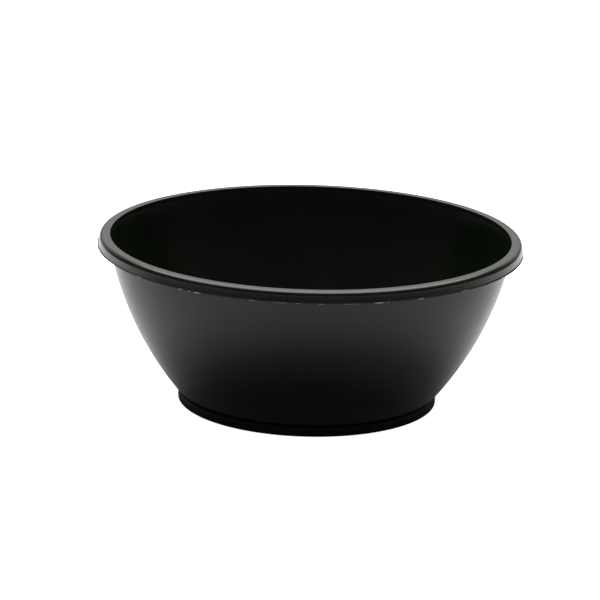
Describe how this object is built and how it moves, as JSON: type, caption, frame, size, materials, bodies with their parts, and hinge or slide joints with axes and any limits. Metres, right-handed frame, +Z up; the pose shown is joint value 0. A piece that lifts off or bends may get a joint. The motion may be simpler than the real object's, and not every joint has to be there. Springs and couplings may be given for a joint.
{
  "type": "hair color bowl",
  "caption": "Round black mixing bowl for hair color, with a stepped rim band and a non-slip foot ring; open at the top and resting on its foot.",
  "frame": {"origin": "centre of the foot's resting plane, on the bowl's axis", "axes": "+Z up along the bowl's axis, from the foot to the mouth; the bowl is round, so +X and +Y are any two level directions"},
  "size_m": [0.15, 0.15, 0.06],
  "materials": {
    "bowl_plastic": "black satin injection-moulded polypropylene",
    "band_plastic": "black satin injection-moulded polypropylene, a little smoother than the bowl",
    "foot_rubber": "black thermoplastic rubber, matt"
  },
  "bodies": {
    "root": {"bowl_shell": "bowl_plastic", "rim_band": "band_plastic", "foot_ring": "foot_rubber"}
  },
  "joints": []
}
